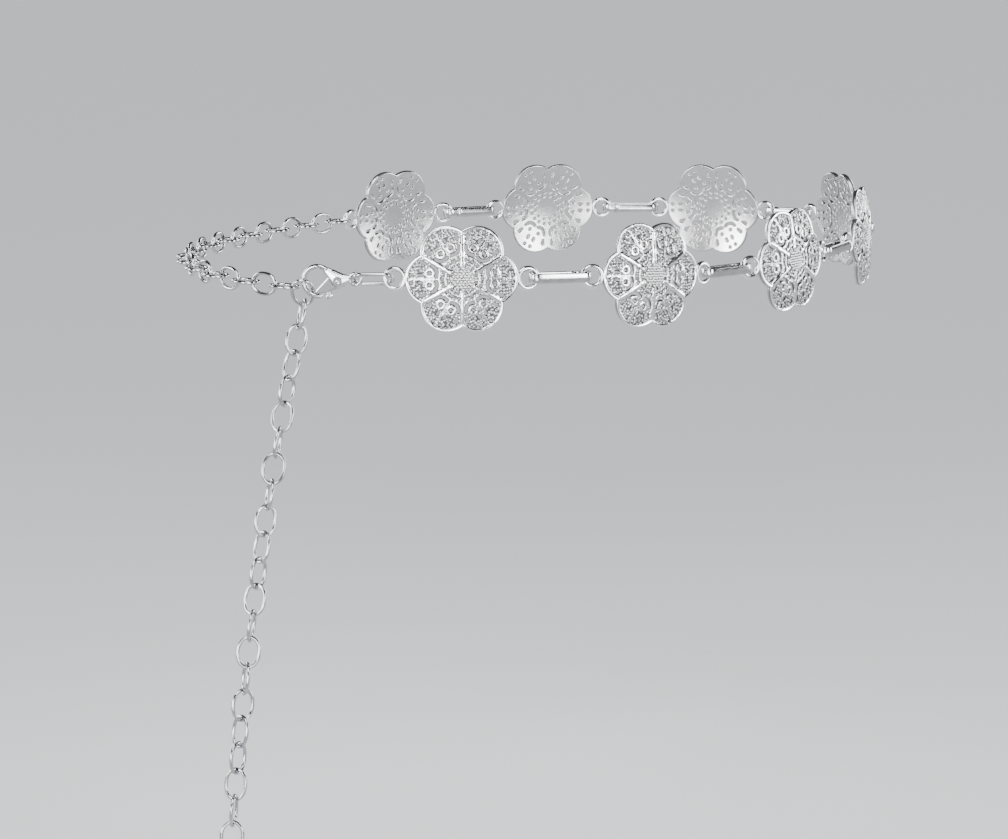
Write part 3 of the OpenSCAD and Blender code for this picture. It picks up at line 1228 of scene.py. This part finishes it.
        crown = made.out(MATH, (square, -fall, top), operation="MULTIPLY_ADD")
        rise = made.out("ShaderNodeCombineXYZ", {"Z": crown})
        spots = made.out("GeometryNodeSetPosition", {"Geometry": spots, "Offset": rise})
        ball = made.out("GeometryNodeMeshUVSphere", {"Segments": segments, "Rings": rings, "Radius": half})
        ball = made.out("GeometryNodeTransform", {"Geometry": ball, "Scale": self.bead_shape})
        # The beads stand high in the relief mask: polished, with only a little painted shade
        polish_and_shade = {"Geometry": ball, "Name": "relief", "Value": self.bright[1]}
        ball = made.out("GeometryNodeStoreNamedAttribute", polish_and_shade, data_type="FLOAT")
        beads = made.out("GeometryNodeInstanceOnPoints", {"Points": spots, "Instance": ball})
        return made.out("GeometryNodeRealizeInstances", {"Geometry": beads})

    @staticmethod
    def bend(made: GeometryTree, flat: Socket, dome: Socket) -> Socket:
        """Bend a flat geometry over a dome whose top is at the origin.

        Args:
            made: The medallion's tree.
            flat: The geometry.
            dome: Radius of the dome.

        Returns:
            The socket with the bent geometry.
        """
        parts = made.node("ShaderNodeSeparateXYZ", (made.out("GeometryNodeInputPosition"),)).outputs
        level = made.out("ShaderNodeCombineXYZ", {"X": parts["X"], "Y": parts["Y"]})
        away = made.node("ShaderNodeVectorMath", (level,), operation="LENGTH").outputs["Value"]
        angle = made.out(MATH, (away, dome), operation="DIVIDE")
        high = made.out(MATH, (dome, parts["Z"]), operation="ADD")
        out = made.out(MATH, (high, made.out(MATH, (angle,), operation="SINE")), operation="MULTIPLY")
        spread = made.out(MATH, (out, away), operation="DIVIDE")
        level = made.out("ShaderNodeVectorMath", {0: level, "Scale": spread}, operation="SCALE")
        level = made.node("ShaderNodeSeparateXYZ", (level,)).outputs
        up = made.out(MATH, (high, made.out(MATH, (angle,), operation="COSINE")), operation="MULTIPLY")
        up = made.out(MATH, (up, dome), operation="SUBTRACT")
        bent = made.out("ShaderNodeCombineXYZ", {"X": level["X"], "Y": level["Y"], "Z": up})
        return made.out("GeometryNodeSetPosition", {"Geometry": flat, "Position": bent})

    def build(self) -> Mesh:
        """Build the medallion at the origin.

        Returns:
            The mesh, in mm, facing Z with its rings along X.
        """
        ring_out = (self.reach + self.ring_od / 2 - self.ring_lap) / self.dome_r
        return self.tree().run(self.petal(), {
            "Petals": self.petals,
            "Dome radius": self.dome_r,
            "Ring line radius": (self.ring_od - self.ring_bar) / 2,
            "Ring bar radius": self.ring_bar / 2,
            "Ring angle": math.asin(ring_out),
            "Ring height": self.dome_r - self.thickness / 2,
            "Boss radius": self.boss_r,
            "Bead length": self.bead,
            "Row spacing": self.bead * self.bead_row,
            "Finish": CAST_ZINC.material(),
        })

    def dress(self, nodes: Sequence[str]) -> None:
        """Put a copy of the medallion in place of each flower node.

        Args:
            nodes: The CAD nodes.
        """
        master = outward_mesh(self.build())
        master.shade_smooth()
        for node in nodes:
            pose = pose_of(solids_of(node)[0])
            _, front = pose.reach(pose.facing)
            low, high = pose.reach(pose.long)
            under, over = pose.reach(pose.short)
            top = pose.middle + pose.facing * (front - self.boss_h * MM)
            top = top + pose.long * (low + high) / 2 + pose.short * (under + over) / 2
            copy = master.copy()
            copy.name = node + "_casting"
            copy.transform(pose.matrix(top))
            add_piece(node + "_casting", copy, "chain", CAST_ZINC, [node])


# Clasp


def turned(name: str, line: Sequence[tuple[float, float]], sides: int) -> Mesh:
    """Turn a line about the Z axis.

    Args:
        name: The mesh's name.
        line: Radius and height of its points, from one pole to the other.
        sides: Number of sides.

    Returns:
        A closed mesh.
    """
    count = len(line)
    turns = np.linspace(0, 2 * math.pi, sides, endpoint=False)
    corners = [(x * math.cos(t), x * math.sin(t), z) for t in turns for x, z in line]
    faces = [
        (i * count + k, i * count + k + 1, (i + 1) % sides * count + k + 1, (i + 1) % sides * count + k)
        for i in range(sides)
        for k in range(count - 1)
    ]
    return outward_mesh(mesh_of(name, corners, faces), weld=1e-6)


def round_ended(radius: float, half: float, dome: float, steps: int = 7) -> list[tuple[float, float]]:
    """Line of a rod with domed ends, for turning.

    Args:
        radius: The rod's radius.
        half: Half the length of its straight part.
        dome: Height of each dome.
        steps: Points along each dome.

    Returns:
        Radius and height of its points.
    """
    angles = np.radians(np.linspace(90, 0, steps))
    top = [(radius * math.cos(a), half + dome * math.sin(a)) for a in angles]
    return top + [(x, -z) for x, z in reversed(top)]


@dataclass
class Clasp:
    """The lobster clasp: body, sprung lever and rivet, softened as tumbled castings are. Lengths in mm.

    Places are measured from the rivet, along the clasp and upwards.

    Attributes:
        weld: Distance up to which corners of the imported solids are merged.
        voxel: Size of the remeshing cells.
        passes: Smoothing passes of the body.
        lever_passes: Smoothing passes of the lever, whose edges run aslant.
        rivet_r: Radius of the rivet.
        rivet_dome: Height of its heads.
        rivet_sides: Sides round it.
        rib: Ends of the rounded rib along the lever's inner edge.
        rib_r: Radius of that rib.
        rib_sides: Sides round it.
        roof_turn: Direction square to the housing's roof, in degrees.
        roof: Section of the roof over the lever's slot, across and outwards.
        roof_reach: Where the roof starts and ends along the housing.
    """

    weld: float = 0.001
    voxel: float = 0.1
    passes: int = 8
    lever_passes: int = 20
    rivet_r: float = 0.5
    rivet_dome: float = 0.16
    rivet_sides: int = 32
    rib: tuple[tuple[float, float], tuple[float, float]] = ((-2.2, 1.2), (-5.8, -2.55))
    rib_r: float = 0.6
    rib_sides: int = 24
    roof_turn: float = 68.6
    roof: tuple[tuple[float, float], ...] = (
        (-1.0, 2.24), (-0.55, 2.52), (0.55, 2.52), (1.0, 2.24),
        (1.0, 2.08), (0.6, 2.34), (-0.6, 2.34), (-1.0, 2.08),
    )
    roof_reach: tuple[float, float] = (-0.7, 2.9)

    def place(self) -> Matrix:
        """Find where the clasp lies.

        Returns:
            The matrix from its own millimetres, along it, upwards and square to it, to the scene.
        """
        rivet = pose_of(solids_of("clasp_pin")[0])
        up = Vector((0, 0, 1))
        square = Vector(rivet.long.tolist())
        along = up.cross(square).normalized()
        to_link = pose_of(solids_of("clasp_link")[0]).middle - rivet.middle
        if along.dot(Vector(to_link.tolist())) < 0:
            square, along = -square, -along
        columns = [along * MM, up * MM, square * MM, Vector(rivet.middle.tolist())]
        return Matrix([[*(column[row] for column in columns)] for row in range(3)] + [[0, 0, 0, 1]])

    def rib_mesh(self) -> Mesh:
        """Build the rib along the lever's inner edge.

        Returns:
            The mesh, in the clasp's millimetres.
        """
        first, last = (Vector((*end, 0)) for end in self.rib)
        line = round_ended(self.rib_r, (last - first).length / 2, self.rib_r)
        made = turned("lever_rib", line, self.rib_sides)
        turn = Vector((0, 0, 1)).rotation_difference(last - first).to_matrix().to_4x4()
        made.transform(Matrix.Translation((first + last) / 2) @ turn)
        return made

    def roof_mesh(self) -> Mesh:
        """Build the roof of the housing over the lever's slot.

        Returns:
            The mesh, in the clasp's millimetres.
        """
        a = math.radians(self.roof_turn)
        out, along = Vector((math.cos(a), math.sin(a), 0)), Vector((-math.sin(a), math.cos(a), 0))
        count = len(self.roof)
        corners = [along * t + out * n + Vector((0, 0, z)) for t in self.roof_reach for z, n in self.roof]
        faces = [(k, (k + 1) % count, count + (k + 1) % count, count + k) for k in range(count)]
        faces += [tuple(range(count)), tuple(range(count, 2 * count))]
        return outward_mesh(mesh_of("roof", corners, faces))

    def softened(self, node: str, extra: Mesh, passes: int) -> Mesh:
        """Remesh a CAD node's solid with soft edges.

        Args:
            node: The CAD node.
            extra: A closed mesh that is fused with it, in the clasp's millimetres.
            passes: Smoothing passes.

        Returns:
            The mesh, in metres.
        """
        extra.transform(self.place())
        work = bmesh.new()
        work.from_mesh(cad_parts[node].data)
        bmesh.ops.remove_doubles(work, verts=work.verts, dist=self.weld * MM)
        work.from_mesh(extra)
        mesh = bpy.data.meshes.new(node)
        work.to_mesh(mesh)
        work.free()
        mesh.transform(Matrix.Scale(1 / MM, 4))
        holder = bpy.data.objects.new("holder", mesh)
        bpy.context.scene.collection.objects.link(holder)
        remesh = holder.modifiers.new("remesh", "REMESH")
        remesh.mode = "VOXEL"
        remesh.voxel_size = self.voxel
        smooth = holder.modifiers.new("smooth", "SMOOTH")
        smooth.factor = 0.5
        smooth.iterations = passes
        graph = bpy.context.evaluated_depsgraph_get()
        made = bpy.data.meshes.new_from_object(holder.evaluated_get(graph))
        bpy.data.objects.remove(holder)
        made.transform(Matrix.Scale(MM, 4))
        made.shade_smooth()
        return made

    def rivet(self) -> Mesh:
        """Turn the rivet with its domed heads.

        Returns:
            The mesh, in metres.
        """
        pose = pose_of(solids_of("clasp_pin")[0])
        low, high = pose.reach(pose.long)
        line = round_ended(self.rivet_r, (high - low) / 2 / MM, self.rivet_dome)
        made = turned("clasp_rivet", line, self.rivet_sides)
        made.transform(self.place())
        made.shade_smooth()
        return made

    def dress(self) -> None:
        """Build the clasp's three pieces and put them in place of their nodes."""
        body = self.softened("clasp_body", self.roof_mesh(), self.passes)
        add_piece("clasp_body_casting", body, "chain", POLISHED_CLASP, ["clasp_body"])
        lever = self.softened("clasp_lever", self.rib_mesh(), self.lever_passes)
        add_piece("clasp_lever_casting", lever, "lever", POLISHED_CLASP, ["clasp_lever"])
        add_piece("clasp_rivet", self.rivet(), "chain", POLISHED_CLASP, ["clasp_pin"])


# Studio


@dataclass(frozen=True)
class Softbox:
    """A soft light on a stand.

    Attributes:
        name: Its name.
        turn: Angle from the camera's side of the chain, in degrees.
        away: Distance from the loop's middle, in metres.
        height: Height of its middle, in metres.
        width: Its width, in metres.
        tall: Its height from edge to edge, in metres.
        glow: Its brightness.
    """

    name: str
    turn: float
    away: float
    height: float
    width: float
    tall: float
    glow: float


SOFTBOXES = (
    Softbox("front", -8, 0.95, 0.12, 0.42, 0.46, 0.7),
    Softbox("front_left", -50, 0.8, 0.16, 0.28, 0.52, 1.2),
    Softbox("front_right", 44, 0.8, 0.16, 0.28, 0.52, 1.2),
    Softbox("side_left", -95, 0.75, 0.16, 0.22, 0.52, 1.2),
    Softbox("side_right", 95, 0.75, 0.16, 0.22, 0.52, 1.2),
    Softbox("back_left", -140, 1.2, 0.35, 0.5, 0.7, 0.7),
    Softbox("back_right", 140, 1.2, 0.35, 0.5, 0.7, 0.7),
    Softbox("front_high", 4, 0.9, 0.85, 0.8, 0.4, 0.25),
    Softbox("front_low", 0, 0.62, -0.11, 0.9, 0.15, 0.5),
)


@dataclass
class Studio:
    """Pale floor, soft lights and the photograph's camera. Lengths in metres, angles in degrees.

    Attributes:
        eye: The camera's place.
        ahead: Direction that it looks in.
        lens_mm: Its focal length.
        sensor_mm: Width of its sensor.
        sight: How far it sees.
        drop: Gap between the lowest link and the floor.
        floor: Half the floor's width.
        top_at: Where the even light from above comes from.
        top_light: Strength of that light.
        top_angle: Angle that it fills in the sky.
        spread: Angle of the softboxes' beams.
        aim: Height that a light is aimed at, as a share of its own.
        dim: Colour of the room that the metal mirrors.
        wall: Colour of the wall that the eye sees.
    """

    eye: tuple[float, float, float] = (-0.7904, -0.8260, 0.1278)
    ahead: tuple[float, float, float] = (0.6752, 0.7196, -0.1630)
    lens_mm: float = 121.64
    sensor_mm: float = 36.0
    sight: float = 60.0
    drop: float = 0.03
    floor: float = 12.0
    top_at: tuple[float, float, float] = (-0.9, -0.5, 2.6)
    top_light: float = 3.0
    top_angle: float = 35.0
    spread: float = 40.0
    aim: float = 0.3
    dim: str = "#4c4e52"
    wall: str = "#c4c5c8"

    def camera(self) -> None:
        """Set the camera at the photograph's viewing angle."""
        data = bpy.data.cameras.new("photo_camera")
        data.sensor_width = self.sensor_mm
        data.lens = self.lens_mm
        data.clip_end = self.sight
        camera = bpy.data.objects.new("photo_camera", data)
        bpy.context.scene.collection.objects.link(camera)
        camera.location = self.eye
        camera.rotation_mode = "QUATERNION"
        camera.rotation_quaternion = Vector(self.ahead).to_track_quat("-Z", "Y")
        bpy.context.scene.camera = camera

    def ground(self) -> None:
        """Lay the floor below the hanging chain."""
        level = CAD_BOX[0][2] - self.drop
        corners = [(x * self.floor, y * self.floor, level) for x, y in ((-1, -1), (1, -1), (1, 1), (-1, 1))]
        mesh = mesh_of("floor", corners, [(0, 1, 2, 3)])
        mesh.materials.append(StudioPaper().material())
        floor = bpy.data.objects.new("floor", mesh)
        bpy.context.scene.collection.objects.link(floor)

    def light(self, name: str, kind: str, at: Vector, power: float) -> bpy.types.Light:
        """Hang a light that faces the chain and that the camera can't see.

        Args:
            name: The light's name.
            kind: Its type.
            at: Its place.
            power: Its power.

        Returns:
            The light's data, for its size.
        """
        data = bpy.data.lights.new(name, kind)
        data.energy = power
        light = bpy.data.objects.new(name, data)
        bpy.context.scene.collection.objects.link(light)
        light.location = at
        light.rotation_mode = "QUATERNION"
        light.rotation_quaternion = (Vector((0.0, 0.0, at.z * self.aim)) - at).to_track_quat("-Z", "Y")
        light.visible_camera = False
        return data

    def softbox(self, box: Softbox) -> None:
        """Stand a softbox at its place round the chain.

        Args:
            box: The softbox.
        """
        toward = math.atan2(self.eye[1], self.eye[0]) + math.radians(box.turn)
        at = Vector((box.away * math.cos(toward), box.away * math.sin(toward), box.height))
        data = self.light(box.name, "AREA", at, box.glow * math.pi * box.width * box.tall)
        data.shape = "RECTANGLE"
        data.size, data.size_y = box.width, box.tall
        data.spread = math.radians(self.spread)

    def world(self) -> None:
        """Give the metal a dim grey room to mirror, while the eye sees a wall as pale as the floor."""
        world = bpy.data.worlds.new("studio")
        bpy.context.scene.world = world
        world.use_nodes = True
        tree = world.node_tree
        seen = add_node(tree, "ShaderNodeLightPath").outputs["Is Camera Ray"]
        tones = {"Factor": seen, 6: linear(self.dim), 7: linear(self.wall)}
        colour = add_node(tree, "ShaderNodeMix", tones, data_type="RGBA").outputs[2]
        tree.links.new(colour, tree.nodes["Background"].inputs["Color"])

    def set_up(self) -> None:
        """Set up the whole studio: an even top light, and softboxes that the metal mirrors."""
        self.camera()
        self.ground()
        self.world()
        top = self.light("even_top", "SUN", Vector(self.top_at), self.top_light)
        top.angle = math.radians(self.top_angle)
        for box in SOFTBOXES:
            self.softbox(box)


def main() -> None:
    """Build the studio and dress the chain, sub-assembly by sub-assembly."""
    logging.basicConfig(level=logging.INFO, format="%(name)s %(message)s")
    Studio().set_up()
    links = LinkChain.tree()
    rows = [LinkChain("clasp_link", wire=1.2, ovalness=0.05)]
    rows += [LinkChain(node, wire=1.1) for node in ("corner_link", "side_chain", "tail_chain")]
    for row in rows:
        row.dress(links)
    nodes = sorted(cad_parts)
    for node in nodes:
        if node.startswith("band_link"):
            BandLink(node).dress()
    Clasp().dress()
    Flower().dress([n for n in nodes if n.startswith("flower")])


if __name__ == "__main__":
    main()
